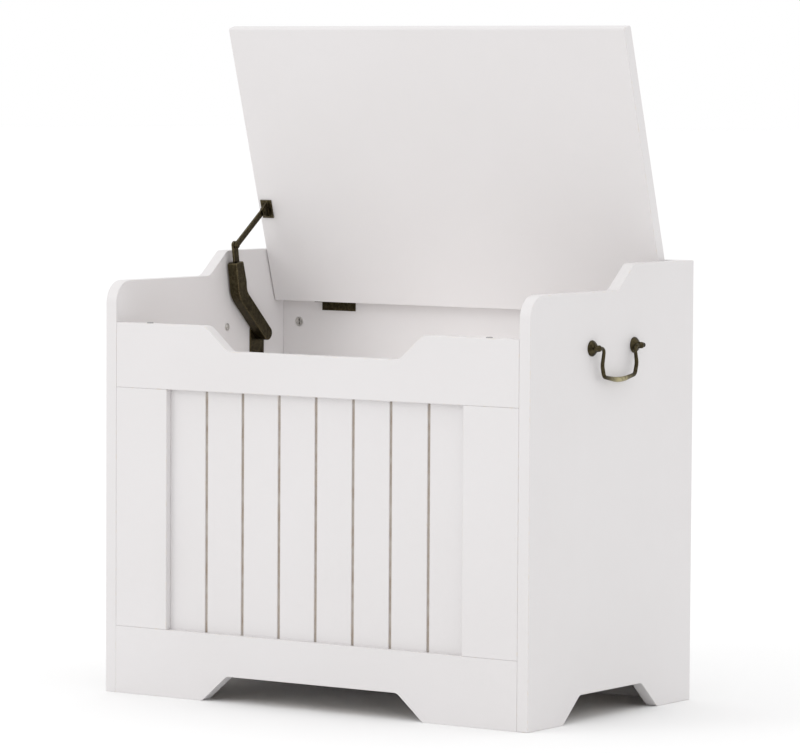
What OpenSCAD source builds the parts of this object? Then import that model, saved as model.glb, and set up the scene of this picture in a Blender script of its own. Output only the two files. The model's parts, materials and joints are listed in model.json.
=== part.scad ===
/* [Overall size] */
// Width over the two side panels
body_w = 600; // [560:1:680]
// Depth from the front frame to the back panel
body_d = 354; // [346:1:380]
// Height of the raised rear part of the side panels
rear_h = 521; // [515:1:530]
// Height of the arm tops
arm_h = 491; // [484:1:500]
// Thickness of the painted boards
board = 15; // [15:0.5:16]

/* [Side panels] */
// Radius of the front upper corner of each arm
arm_round = 26; // [15:1:30]
// Depth position where the slope leaves the arm top
slope_foot_y = 8; // [0:1:12]
// Depth position where the slope reaches the rear part
slope_top_y = 44; // [38:1:50]
// Half width of the side foot opening at the floor
side_cut_floor = 103; // [95:1:110]
// Half width of the side foot opening at its top
side_cut_top = 67; // [60:1:75]

/* [Front frame] */
// Height of the top edge of the top rail
rail_top_h = 442; // [440:1:444]
// Height of the top rail
top_rail_w = 77; // [75:1:79]
// Height of the bottom rail
bottom_rail_w = 80; // [78:1:82]
// Width of the upright stiles
stile_w = 75; // [73:1:78]
// Half width of the scoop in the top rail at its edge
scoop_top = 154; // [145:1:160]
// Half width of the scoop in the top rail at its bottom
scoop_low = 121; // [112:1:126]
// Depth of the scoop in the top rail
scoop_depth = 29; // [24:1:32]
// Half width of the front foot opening at the floor
front_cut_floor = 157; // [150:1:165]
// Half width of the front foot opening at its top
front_cut_top = 121; // [115:1:125]
// Height of the foot openings
cut_h = 31; // [26:1:34]

/* [Slats] */
// Number of slats in the front
slat_count = 8; // [8:1:8]
// Thickness of a slat
slat_t = 6; // [5.5:0.5:7]
// Width of the open groove between two slats
slat_gap = 3.6; // [2.8:0.1:4]
// How far the slats run into the rebates of the frame
rebate = 8; // [6:1:9]

/* [Lid] */
// Width of the lid
lid_w = 567; // [560:0.5:567]
// How far the closed lid stands over the front frame
lid_overhang = 14; // [8:1:15]
// Angle at which the lid stands open
open_angle = 73.5; // [70:0.5:75]

/* [Hinges] */
// Distance of each hinge from the middle of the bench
hinge_x = 200; // [150:1:220]
// Length of a hinge
hinge_len = 50; // [50:1:60]
// Radius of the hinge knuckle
knuckle_r = 2.5; // [2.4:0.1:2.6]
// Radius of the hinge pin
pin_r = 1.2; // [1:0.1:1.3]

/* [Lid stay] */
// Distance from the hinge pin to the lid bracket, along the lid
stay_reach = 120; // [115:1:124]
// Depth offset between the two ends of the link
link_y = 55; // [52:1:57]
// Height offset between the two ends of the link
link_z = 41; // [39:1:43]

/* [Handles] */
// Height of the handle posts
handle_h = 427; // [420:1:429]
// Distance between the two posts of a handle
post_pitch = 92; // [90:1:96]
// Distance of the bail's pivot from the side panel
bail_out = 9; // [8.8:0.1:10]
// Length of the bail below its pivot, at the middle of the grip
bail_drop = 38; // [36:1:40]

/* [Hidden] */
$fn = 48;
arc_steps = 8;
slack = 0.05;

half_w = body_w / 2;
inner_x = half_w - board;
front_y = -body_d / 2;
back_y = body_d / 2;
frame_back_y = front_y + board;
back_face_y = back_y - board;
frame_mid_y = front_y + board / 2;
back_mid_y = back_y - board / 2;

rail_low_h = rail_top_h - top_rail_w;
stile_x = inner_x - stile_w;
slat_pitch = 2 * stile_x / slat_count;
slat_face_y = frame_back_y - slat_t;
slat_bottom = bottom_rail_w - rebate;
slat_top = rail_low_h + rebate;
tongue = 4.4;
tongue_t = 3;

floor_z = 62;
floor_t = 12;
cleat = [15, 20];
cleat_z = floor_z - cleat[1];

bumper_t = 1.3;
lid_low = rail_top_h + 1.5;
lid_top = lid_low + board;
lid_rear_y = back_face_y - 3.4;
lid_front_y = front_y - lid_overhang;

// The hinge pin runs along the bench, in front of the back panel and above the lid
pivot = [0, back_face_y - 2.8, lid_top + 2.7];
leaf_t = 1.2;
leaf_w = 13;

// The lid stay is a parallelogram: the line between the arm's two pivots stays
// parallel to the line from the hinge pin to the lid bracket, and the link only shifts
bracket_down = 8;
bracket_arm = [-stay_reach, lid_low - bracket_down - pivot[2]];
function opened(v) = [
    v[0] * cos(open_angle) + v[1] * sin(open_angle),
    -v[0] * sin(open_angle) + v[1] * cos(open_angle)];
arm_vector = opened(bracket_arm);
stay_base = [pivot[1] - link_y, pivot[2] - link_z];
stay_elbow = stay_base + arm_vector;
stay_end = [pivot[1], pivot[2]] + arm_vector;
arm_length = norm(arm_vector);
arm_tilt = atan2(arm_vector[1], arm_vector[0]);
link_length = norm([link_y, link_z]);
link_tilt = atan2(link_z, link_y);
// Layers of the stay, measured from the left panel's inner face
mount_t = 2;
arm_layer = [8.5, 11.5];
link_layer = [11.7, 14.2];
ear_layer = [14.5, 16.5];
shroud_layer = [2.8, 16.8];
stay_pin_r = 2.5;

handle_y = -2;
post_y = post_pitch / 2;
post_ball_r = 4.2;
post_bore = 5.2;
eye_r = 2;
rod_r = 2.3;
grip_r = 3.1;
// The rear half of the bail's centreline: corners in depth and height from the
// pivot, and the radius of each bend. The last corner is the middle of the grip
bail_corners = [
    [post_y + 4.6, 0], [post_y - 13, 0], [post_y - 8.5, -20], [post_y - 12.5, -33], [0, -bail_drop - 0.7],
    [-post_y + 12.5, -33]];
bail_bends = [0, 5, 14, 6, 100];

batten_t = 12;
batten_w = 30;
batten_low_z = floor_z + floor_t + 1;
batten_high_z = slat_top - batten_w / 2;
slat_centres = [for (i = [0 : slat_count - 1]) (i + 0.5) * slat_pitch - stile_x];
batten_screw_x = concat([-stile_x - 35], slat_centres, [stile_x + 35]);

// Heights of the cam fittings and the dowels in the front frame and in the back panel
cam_front_z = [46, 402];
cam_back_z = [110, 300, 430];
dowel_front_z = [20, 68, 382, 422];
dowel_back_z = [60, 200, 400];
cam_in = 24;

paint = "whitesmoke";
groove_wood = "tan";
bronze = "darkolivegreen";
steel = "silver";

// ---- Outlines with rounded corners ----

function unit(v) = v / norm(v);

function turned(v, a) = [v[0] * cos(a) - v[1] * sin(a), v[0] * sin(a) + v[1] * cos(a)];

// The arc of radius r that rounds the corner at b between a and c
function corner(a, b, c, r) =
    r == 0 ? [b] :
    let (u = unit(a - b))
    let (v = unit(c - b))
    let (half = acos(u * v) / 2)
    let (centre = b + unit(u + v) * r / sin(half))
    let (start = b + u * r / tan(half) - centre)
    let (end = b + v * r / tan(half) - centre)
    let (turn = (180 - 2 * half) * sign(cross(start, end)))
    [for (i = [0 : arc_steps]) centre + turned(start, turn * i / arc_steps)];

// An outline from its corner points and the radius of each corner
function rounded(points, radii) =
    let (n = len(points))
    [for (i = [0 : n - 1])
        each corner(points[(i + n - 1) % n], points[i], points[(i + 1) % n], radii[i])];

// Extrudes an outline drawn in depth and height, from x0 to the right
module across(x0, thickness) {
    translate([x0, 0, 0])
        rotate([90, 0, 90])
            linear_extrude(thickness) children();
}

// Extrudes an outline drawn in width and height, from y0 to the rear
module facing(y0, thickness) {
    translate([0, y0 + thickness, 0])
        rotate([90, 0, 0])
            linear_extrude(thickness) children();
}

// Turns a shape drawn along +Z so that it points along +X, or along -X
module along_x(way = 1) {
    rotate([0, 90 * way, 0]) children();
}

// Turns a shape drawn along +Z so that it points along +Y, or along -Y
module along_y(way = 1) {
    rotate([-90 * way, 0, 0]) children();
}

module on_left_and_right() {
    children();
    mirror([1, 0, 0]) children();
}

// ---- Fasteners ----

// A countersunk wood screw with its head face at the origin, pointing along +Z
module wood_screw(length, r, head_r, room = 0) {
    cone = head_r - r;
    rotate_extrude()
        polygon([
            [0, -room],
            [head_r + room, -room],
            [head_r + room, 0],
            [r + room, cone],
            [r + room, length - 2 * r],
            [0, length + room]]);
}

module batten_screw_set(room = 0) {
    for (z = [batten_low_z + batten_w / 2, slat_top + 7])
        for (x = batten_screw_x)
            translate([x, frame_back_y + batten_t, z])
                along_y(-1) wood_screw(16, 1.5, 3, room);
}

module cleat_screw_set(room = 0) {
    z = cleat_z + cleat[1] / 2;
    for (y = [-110, 0, 110])
        on_left_and_right()
            translate([inner_x - cleat[0], y, z])
                along_x() wood_screw(25, 1.75, 3.5, room);
    for (x = [-180, 0, 180]) {
        translate([x, frame_back_y + cleat[0], z])
            along_y(-1) wood_screw(25, 1.75, 3.5, room);
        translate([x, back_face_y - cleat[0], z])
            along_y() wood_screw(25, 1.75, 3.5, room);
    }
}

// Calls its children at each cam fitting at the right end of the boards
module at_cams() {
    for (z = cam_front_z)
        translate([inner_x, frame_mid_y, z]) children();
    for (z = cam_back_z)
        translate([inner_x, back_mid_y, z])
            mirror([0, 1, 0]) children();
}

// A cam lock, drilled into the inner face of a board, around its bolt's head
module cam_lock() {
    difference() {
        translate([-cam_in, board / 2, 0])
            along_y(-1) cylinder(r = 6, h = 10.5);
        translate([-cam_in - 3.5, 0, 0])
            along_x() cylinder(r = 3.2, h = 12);
    }
}

module cam_bore() {
    translate([-cam_in, board / 2 + 1, 0])
        along_y(-1) cylinder(r = 6 + slack, h = 11.5 + slack);
    translate([-cam_in, 0, 0])
        along_x() cylinder(r = 3.2, h = cam_in + 1);
}

// The bolt is screwed into the side panel and reaches into the cam
module cam_bolt() {
    translate([-cam_in - 2.5, 0, 0])
        along_x()
            rotate_extrude()
                polygon([[0, 0], [2.6, 0], [2.6, 3], [1.6, 3], [1.6, 7], [2.6, 8],
                    [2.6, cam_in + 2.5], [2.5, cam_in + 2.5], [2.5, cam_in + 10.5], [0, cam_in + 11.5]]);
}

module cam_bolt_bore() {
    translate([-1, 0, 0])
        along_x() cylinder(r = 2.5 + slack, h = 10.2);
}

module at_dowels() {
    for (z = dowel_front_z)
        translate([inner_x, frame_mid_y, z]) children();
    for (z = dowel_back_z)
        translate([inner_x, back_mid_y, z]) children();
}

module dowel(room = 0) {
    translate([-20 - room, 0, 0])
        along_x() cylinder(r = 4 + room, h = 29 + 2 * room);
}

module at_frame_dowels() {
    for (x = [stile_x + 18, stile_x + 47])
        for (z = [bottom_rail_w, rail_low_h])
            translate([x, frame_mid_y, z]) children();
}

module frame_dowel(room = 0) {
    translate([0, 0, -14 - room]) cylinder(r = 3 + room, h = 28 + 2 * room);
}

// ---- Side panels ----

side_outline = rounded(
    [[front_y, 0], [-side_cut_floor, 0], [-side_cut_top, cut_h], [side_cut_top, cut_h],
        [side_cut_floor, 0], [back_y, 0], [back_y, rear_h], [slope_top_y, rear_h],
        [slope_foot_y, arm_h], [front_y, arm_h]],
    [0, 8, 10, 10, 8, 0, 2, 10, 16, arm_round]);

// The right panel; the left one is its mirror image
module side_panel() {
    difference() {
        across(inner_x, board) polygon(side_outline);
        at_cams() cam_bolt_bore();
        at_dowels() dowel(slack);
        cleat_screw_set(slack);
        for (side = [-1, 1])
            translate([inner_x - 1, handle_y + side * post_y, handle_h])
                along_x() cylinder(r = 2.2, h = board + 2);
    }
}

module side_panel_right() {
    color(paint) side_panel();
}

module side_panel_left() {
    color(paint)
        difference() {
            mirror([1, 0, 0]) side_panel();
            stay_mount_screw_set(slack);
        }
}

// ---- Back panel ----

module back_panel() {
    color(paint)
        difference() {
            translate([-inner_x, back_face_y, 0])
                cube([2 * inner_x, board, rear_h]);
            on_left_and_right() {
                at_cams() cam_bore();
                at_dowels() dowel(slack);
            }
            cleat_screw_set(slack);
            hinge_back_screw_set(slack);
        }
}

// ---- Front frame ----

top_rail_outline = rounded(
    [[-inner_x, rail_low_h], [inner_x, rail_low_h], [inner_x, rail_top_h], [scoop_top, rail_top_h],
        [scoop_low, rail_top_h - scoop_depth], [-scoop_low, rail_top_h - scoop_depth],
        [-scoop_top, rail_top_h], [-inner_x, rail_top_h]],
    [0, 0, 0, 10, 12, 12, 10, 0]);

bottom_rail_outline = rounded(
    [[-inner_x, 0], [-front_cut_floor, 0], [-front_cut_top, cut_h], [front_cut_top, cut_h],
        [front_cut_floor, 0], [inner_x, 0], [inner_x, bottom_rail_w], [-inner_x, bottom_rail_w]],
    [0, 8, 10, 10, 8, 0, 0, 0]);

// The rebates in the frame that the slats lie in
module slat_rebate() {
    width = 2 * (stile_x + rebate);
    translate([-width / 2, slat_face_y, slat_bottom])
        cube([width, slat_t + 1, slat_top - slat_bottom]);
}

// What is drilled out of every piece of the front frame
module frame_bores() {
    batten_screw_set(slack);
    on_left_and_right() {
        at_cams() cam_bore();
        at_dowels() dowel(slack);
        at_frame_dowels() frame_dowel(slack);
    }
}

module top_rail() {
    color(paint)
        difference() {
            facing(front_y, board) polygon(top_rail_outline);
            slat_rebate();
            frame_bores();
        }
}

module bottom_rail() {
    color(paint)
        difference() {
            facing(front_y, board) polygon(bottom_rail_outline);
            slat_rebate();
            frame_bores();
            cleat_screw_set(slack);
        }
}

module stile_right() {
    color(paint)
        difference() {
            translate([stile_x, front_y, bottom_rail_w])
                cube([stile_w, board, rail_low_h - bottom_rail_w]);
            slat_rebate();
            frame_bores();
        }
}

module stile_left() {
    mirror([1, 0, 0]) stile_right();
}

// ---- Slats ----

// One slat seen from above, with a tongue on its right and a groove on its left
module slat_plan(i) {
    first = i == 0;
    last = i == slat_count - 1;
    left = first ? -stile_x - rebate : i * slat_pitch - stile_x;
    right = last ? stile_x + rebate : (i + 1) * slat_pitch - stile_x;
    face_left = first ? left : left + slat_gap / 2;
    face_right = last ? right : right - slat_gap / 2;
    mid_y = slat_face_y + slat_t / 2;
    difference() {
        union() {
            translate([face_left, slat_face_y])
                square([face_right - face_left, slat_t]);
            if (!last)
                translate([face_right - 1, mid_y - tongue_t / 2])
                    square([1 + slat_gap + tongue, tongue_t]);
        }
        if (!first)
            translate([face_left - 1, mid_y - tongue_t / 2 - 0.1])
                square([1 + tongue + 0.4, tongue_t + 0.2]);
    }
}

module slat(i) {
    color(paint)
        difference() {
            translate([0, 0, slat_bottom])
                linear_extrude(slat_top - slat_bottom) slat_plan(i);
            batten_screw_set(slack);
        }
}

module slat_1() {
    slat(0);
}

module slat_2() {
    slat(1);
}

module slat_3() {
    slat(2);
}

module slat_4() {
    slat(3);
}

module slat_5() {
    slat(4);
}

module slat_6() {
    slat(5);
}

module slat_7() {
    slat(6);
}

module slat_8() {
    slat(7);
}

// ---- Battens behind the slats ----

module batten(z) {
    length = 2 * (stile_x + 55);
    color(groove_wood)
        difference() {
            translate([-length / 2, frame_back_y, z])
                cube([length, batten_t, batten_w]);
            batten_screw_set(slack);
        }
}

module batten_upper() {
    batten(batten_high_z);
}

module batten_lower() {
    batten(batten_low_z);
}

module batten_screws() {
    color(steel) batten_screw_set();
}

// ---- Bottom ----

module bottom_board() {
    gap = 0.3;
    color(paint)
        translate([-inner_x + gap, frame_back_y + gap, floor_z])
            cube([2 * (inner_x - gap), back_face_y - frame_back_y - 2 * gap, floor_t]);
}

module side_cleat() {
    color(groove_wood)
        difference() {
            translate([inner_x - cleat[0], -140, cleat_z])
                cube([cleat[0], 280, cleat[1]]);
            cleat_screw_set(slack);
        }
}

module cleat_right() {
    side_cleat();
}

module cleat_left() {
    mirror([1, 0, 0]) side_cleat();
}

module long_cleat(y0) {
    color(groove_wood)
        difference() {
            translate([-240, y0, cleat_z])
                cube([480, cleat[0], cleat[1]]);
            cleat_screw_set(slack);
        }
}

module cleat_front() {
    long_cleat(frame_back_y);
}

module cleat_rear() {
    long_cleat(back_face_y - cleat[0]);
}

module cleat_screws() {
    color(steel) cleat_screw_set();
}

// ---- Cam fittings and dowels ----

module cam_locks_right() {
    color(steel) at_cams() cam_lock();
}

module cam_locks_left() {
    mirror([1, 0, 0]) cam_locks_right();
}

module cam_bolts_right() {
    color(steel) at_cams() cam_bolt();
}

module cam_bolts_left() {
    mirror([1, 0, 0]) cam_bolts_right();
}

module panel_dowels() {
    color(groove_wood) on_left_and_right() at_dowels() dowel();
}

module frame_dowels() {
    color(groove_wood) on_left_and_right() at_frame_dowels() frame_dowel();
}

// ---- Lid ----

// Places what is drawn on the closed lid where it is when the lid stands open
module with_open_lid() {
    translate(pivot)
        rotate([-open_angle, 0, 0])
            translate(-pivot) children();
}

lid_outline = rounded(
    [[lid_front_y, lid_low], [lid_rear_y, lid_low], [lid_rear_y, lid_top], [lid_front_y, lid_top]],
    [2, 0.8, 0.8, 4]);

module lid() {
    color(paint)
        with_open_lid()
            difference() {
                across(-lid_w / 2, lid_w) polygon(lid_outline);
                hinge_lid_screw_set(slack);
                bracket_screw_set(slack);
            }
}

module lid_bumpers() {
    color("lightgray")
        on_left_and_right()
            translate([240, frame_mid_y, rail_top_h]) {
                cylinder(r = 4, h = bumper_t - 0.5);
                translate([0, 0, bumper_t - 0.5]) cylinder(r1 = 4, r2 = 3.2, h = 0.5);
            }
}

// ---- Butt hinges ----

segment = hinge_len / 5;
hinge_screw_x = [-17, 0, 17];
leaf_low = lid_top - leaf_w;
leaf_mid = leaf_low + 5;

// Knuckle segments with the numbers in the list, counted along the pin
module knuckles(numbers) {
    for (i = numbers)
        translate([(i - 2.5) * segment + 0.15, 0, 0])
            along_x() cylinder(r = knuckle_r, h = segment - 0.3);
}

module pin_bore() {
    translate([-hinge_len / 2 - 1, 0, 0])
        along_x() cylinder(r = pin_r + slack, h = hinge_len + 2);
}

// A leaf with the tabs that join it to its own knuckles
module leaf(y0, tab_top, numbers) {
    translate([-hinge_len / 2, y0, leaf_low])
        cube([hinge_len, leaf_t, leaf_w - 0.8]);
    for (i = numbers)
        translate([(i - 2.5) * segment + 0.15, y0, leaf_low])
            cube([segment - 0.3, leaf_t, tab_top - leaf_low]);
}

module fixed_leaf(x) {
    color(bronze)
        difference() {
            translate([x, 0, 0]) {
                leaf(back_face_y - leaf_t, pivot[2], [0, 2, 4]);
                translate([0, pivot[1], pivot[2]]) knuckles([0, 2, 4]);
            }
            translate([x, pivot[1], pivot[2]]) pin_bore();
            hinge_back_screw_set(slack);
        }
}

module lid_leaf(x) {
    color(bronze)
        with_open_lid()
            difference() {
                translate([x, 0, 0]) {
                    leaf(lid_rear_y, lid_top + 0.6, [1, 3]);
                    translate([0, pivot[1], pivot[2]]) knuckles([1, 3]);
                }
                translate([x, pivot[1], pivot[2]]) pin_bore();
                hinge_lid_screw_set(slack);
            }
}

module hinge_pin(x) {
    color(bronze)
        translate([x, pivot[1], pivot[2]]) {
            translate([-hinge_len / 2, 0, 0])
                along_x() cylinder(r = pin_r, h = hinge_len);
            for (side = [-1, 1])
                translate([side * (hinge_len / 2 + 0.4) - 0.5, 0, 0])
                    along_x() cylinder(r = 2, h = 1);
        }
}

module hinge_left_fixed_leaf() {
    fixed_leaf(-hinge_x);
}

module hinge_left_lid_leaf() {
    lid_leaf(-hinge_x);
}

module hinge_left_pin() {
    hinge_pin(-hinge_x);
}

module hinge_right_fixed_leaf() {
    fixed_leaf(hinge_x);
}

module hinge_right_lid_leaf() {
    lid_leaf(hinge_x);
}

module hinge_right_pin() {
    hinge_pin(hinge_x);
}

module hinge_back_screw_set(room = 0) {
    for (x = hinge_screw_x)
        on_left_and_right()
            translate([hinge_x + x, back_face_y - leaf_t, leaf_mid])
                along_y() wood_screw(12, 1.2, 2.2, room);
}

module hinge_lid_screw_set(room = 0) {
    for (x = hinge_screw_x)
        on_left_and_right()
            translate([hinge_x + x, lid_rear_y + leaf_t, leaf_mid])
                along_y(-1) wood_screw(14, 1.2, 2.2, room);
}

module hinge_screws_back() {
    color(bronze) hinge_back_screw_set();
}

module hinge_screws_lid() {
    color(bronze) with_open_lid() hinge_lid_screw_set();
}

// ---- Lid stay on the left panel ----

// Draws a shape from one layer of the stay to the next, at a point given in depth and height
module stay_layer(layer, at) {
    translate([-inner_x + layer[0], at[0], at[1]])
        rotate([90, 0, 90])
            linear_extrude(layer[1] - layer[0]) children();
}

module stay_pin(from, to, at, r) {
    translate([-inner_x + from, at[0], at[1]])
        along_x() cylinder(r = r, h = to - from);
}

// A bar with round ends, from the origin along its length
module bar_plan(length, w) {
    translate([0, -w / 2]) square([length, w]);
    circle(w / 2);
    translate([length, 0]) circle(w / 2);
}

mount_screw_at = [[-9, -25], [9, -25]];

module stay_mount_screw_set(room = 0) {
    for (offset = mount_screw_at)
        translate([-inner_x + mount_t, stay_base[0] + offset[0], stay_base[1] + offset[1]])
            along_x(-1) wood_screw(13, 1.5, 3, room);
}

module stay_mount() {
    color(bronze)
        difference() {
            union() {
                stay_layer([0, mount_t], stay_base)
                    polygon(rounded([[-14, -34], [14, -34], [14, 14], [-14, 14]], [6, 6, 13, 13]));
                stay_pin(mount_t - 0.5, arm_layer[0] - 0.8, stay_base, 7);
            }
            stay_pin(-1, arm_layer[0], stay_base, stay_pin_r + slack);
            stay_mount_screw_set(slack);
        }
}

module stay_mount_screws() {
    color(bronze) stay_mount_screw_set();
}

module stay_base_bolt() {
    color(bronze) {
        stay_pin(0.5, arm_layer[1] + 0.2, stay_base, stay_pin_r);
        stay_pin(arm_layer[1] + 0.2, arm_layer[1] + 2.7, stay_base, 5);
    }
}

module stay_washer() {
    color("ivory")
        difference() {
            stay_pin(arm_layer[0] - 0.8, arm_layer[0] - 0.1, stay_base, 7);
            stay_pin(0, arm_layer[1], stay_base, stay_pin_r + slack);
        }
}

// The arm is bent: its corner lies off the line between its two pivots
arm_w = 10;
arm_corner = [64.3, 20.8];
lower_arm = norm(arm_corner);
lower_tilt = atan2(arm_corner[1], arm_corner[0]);
upper_arm = norm([arm_length, 0] - arm_corner);
upper_tilt = atan2(-arm_corner[1], arm_length - arm_corner[0]);

// The arm with its base pivot at the origin and its elbow on the first axis
module arm_plan(w) {
    rotate(lower_tilt) bar_plan(lower_arm, w);
    translate(arm_corner)
        rotate(upper_tilt) bar_plan(upper_arm, w);
}

module stay_arm() {
    color(bronze)
        difference() {
            stay_layer(arm_layer, stay_base)
                rotate(arm_tilt) arm_plan(arm_w);
            stay_pin(0, 20, stay_base, stay_pin_r + slack);
            stay_pin(0, 20, stay_elbow, stay_pin_r + slack);
        }
}

// A point beside the lower or the upper stretch of the arm, or beside its corner
function by_lower(along, side) = turned([along, side], lower_tilt);
function by_upper(along, side) = arm_corner + turned([along, side], upper_tilt);
function by_corner(side) =
    arm_corner + turned([0, side / cos((lower_tilt - upper_tilt) / 2)], (lower_tilt + upper_tilt) / 2);

// The cover over the arm: it follows the bend and narrows towards the elbow
shroud_half = 8.5;
shroud_end = upper_arm - 21;
shroud_outline = rounded(
    [by_lower(-12, -shroud_half), by_corner(-shroud_half), by_upper(shroud_end - 26, -9.5),
        by_upper(shroud_end, -6.2), by_upper(shroud_end, 9), by_upper(shroud_end - 26, shroud_half),
        by_corner(shroud_half), by_lower(-12, shroud_half)],
    [8, 14, 20, 2, 3, 20, 30, 8]);

module stay_shroud() {
    color(bronze)
        difference() {
            stay_layer(shroud_layer, stay_base)
                rotate(arm_tilt) polygon(shroud_outline);
            stay_layer([arm_layer[0] - slack, arm_layer[1] + slack], stay_base)
                rotate(arm_tilt) arm_plan(arm_w + 2 * slack);
            stay_pin(0, arm_layer[0] + 1, stay_base, 7.4);
            stay_pin(arm_layer[1] - 1, arm_layer[1] + 3, stay_base, 5.4);
        }
}

// A rivet through two bars, with a head on each side
module stay_rivet(at, from, to) {
    stay_pin(from, to, at, stay_pin_r);
    stay_pin(from - 1.3, from, at, 4);
    stay_pin(to, to + 1.3, at, 4);
}

module stay_elbow_rivet() {
    color(bronze) stay_rivet(stay_elbow, arm_layer[0], link_layer[1] + 0.15);
}

module stay_link() {
    color(bronze)
        difference() {
            stay_layer(link_layer, stay_elbow)
                rotate(link_tilt) bar_plan(link_length, 7.6);
            stay_pin(0, 20, stay_elbow, stay_pin_r + slack);
            stay_pin(0, 20, stay_end, stay_pin_r + slack);
        }
}

module stay_lid_rivet() {
    color(bronze) stay_rivet(stay_end, link_layer[0] - 0.15, ear_layer[1]);
}

bracket_y = pivot[1] - stay_reach;
bracket_x = -inner_x + 14;
bracket_half = 11.5;

module bracket_screw_set(room = 0) {
    for (side = [-1, 1])
        translate([bracket_x - 3, bracket_y + side * 7, lid_low - 2])
            wood_screw(12, 1.5, 2.8, room);
}

// A plate under the lid with an ear for the link, drawn on the closed lid
module stay_lid_bracket() {
    color(bronze)
        with_open_lid()
            difference() {
                union() {
                    translate([bracket_x - 8, bracket_y - bracket_half, lid_low - 2])
                        cube([16, 2 * bracket_half, 2]);
                    across(-inner_x + ear_layer[0], ear_layer[1] - ear_layer[0])
                        polygon(rounded(
                            [[bracket_y - 10, lid_low - 1], [bracket_y - 5, lid_low - bracket_down - 5],
                                [bracket_y + 5, lid_low - bracket_down - 5], [bracket_y + 10, lid_low - 1]],
                            [0, 4, 4, 0]));
                }
                translate([-inner_x, bracket_y, lid_low - bracket_down])
                    along_x() cylinder(r = stay_pin_r + slack, h = 30);
                bracket_screw_set(slack);
            }
}

module stay_bracket_screws() {
    color(bronze) with_open_lid() bracket_screw_set();
}

// ---- Bail handles ----

// Calls its children at the two posts of the right handle
module at_posts() {
    for (side = [-1, 1])
        translate([half_w, handle_y + side * post_y, handle_h]) children();
}

// A trumpet-shaped post with a pierced ball at its end
module post() {
    difference() {
        along_x()
            rotate_extrude() {
                polygon([[0, 0], [9.3, 0], [9.3, 1], [8.6, 2.2], [7.2, 3.7], [5.6, 5],
                    [4.2, 6.1], [3.7, 7.4], [3.5, bail_out], [0, bail_out]]);
                intersection() {
                    translate([0, bail_out]) circle(post_ball_r);
                    translate([0, bail_out - 5]) square([5, 10]);
                }
            }
        translate([-1, 0, 0])
            along_x() cylinder(r = 2, h = 1 + post_bore);
        translate([bail_out, -8, 0])
            along_y() cylinder(r = eye_r + slack, h = 16);
    }
}

module handle_posts() {
    color(bronze) at_posts() post();
}

// Places its children, drawn along +Z, at a point given in depth and height, facing another point
module towards(from, to) {
    step = to - from;
    translate([0, from[0], from[1]])
        rotate([atan2(-step[0], step[1]), 0, 0]) children();
}

// The bend of the rod at corner number i, a little thinner than the stretches that run into it
module rod_bend(i, r) {
    before = unit(bail_corners[i - 1] - bail_corners[i]);
    after = unit(bail_corners[i + 1] - bail_corners[i]);
    half = acos(before * after) / 2;
    centre = bail_corners[i] + unit(before + after) * bail_bends[i] / sin(half);
    start = bend_point(i, -1) - centre;
    end = bend_point(i, 1) - centre;
    turn = (180 - 2 * half) * sign(cross(start, end));
    translate([0, centre[0], centre[1]])
        rotate([90, 0, 90])
            rotate(atan2(start[1], start[0]) + min(turn, 0))
                rotate_extrude(angle = abs(turn))
                    translate([bail_bends[i], 0]) circle(r - slack);
}

// Where the bend at corner number i starts, or ends
function bend_point(i, way) =
    bail_bends[i] == 0 ? bail_corners[i] :
    let (before = unit(bail_corners[i - 1] - bail_corners[i]))
    let (after = unit(bail_corners[i + 1] - bail_corners[i]))
    let (reach = bail_bends[i] / tan(acos(before * after) / 2))
    bail_corners[i] + (way < 0 ? before : after) * reach;

// The straight stretch of the rod from corner number i to the next one
module rod_stretch(i, r1, r2) {
    from = bend_point(i, 1);
    to = bend_point(i + 1, -1);
    lap = 0.3;
    towards(from, to)
        translate([0, 0, -lap]) cylinder(r1 = r1, r2 = r2, h = norm(to - from) + 2 * lap);
}

// The rear half of the bail: an end through the post, a leg that bows outward, and half of the grip
module bail_half() {
    towards(bail_corners[0], [post_y + 6, 0]) cylinder(r = 2.8, h = 1.4);
    rod_stretch(0, eye_r, eye_r);
    rod_bend(1, eye_r);
    rod_stretch(1, eye_r, rod_r);
    rod_bend(2, rod_r);
    rod_stretch(2, rod_r, rod_r);
    rod_bend(3, rod_r);
    rod_stretch(3, rod_r, grip_r);
}

module bail() {
    union() {
        bail_half();
        mirror([0, 1, 0]) bail_half();
        rod_bend(4, grip_r);
    }
}

module handle_bail() {
    color(bronze)
        translate([half_w + bail_out, handle_y, handle_h]) bail();
}

// The screws pass through the panel from the inside, each with a washer under its head
module handle_screw_set() {
    color(steel)
        at_posts() {
            translate([-board - 0.8, 0, 0])
                along_x() cylinder(r = 4.5, h = 0.8);
            translate([-board - 2, 0, 0])
                along_x() cylinder(r = 3.6, h = 1.2);
            translate([-board, 0, 0])
                along_x() cylinder(r = 2, h = board + post_bore - 0.2);
        }
}

module handle_right_posts() {
    handle_posts();
}

module handle_left_posts() {
    mirror([1, 0, 0]) handle_posts();
}

module handle_right_bail() {
    handle_bail();
}

module handle_left_bail() {
    mirror([1, 0, 0]) handle_bail();
}

module handle_right_screws() {
    handle_screw_set();
}

module handle_left_screws() {
    mirror([1, 0, 0]) handle_screw_set();
}

// ---- Nodes ----

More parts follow.
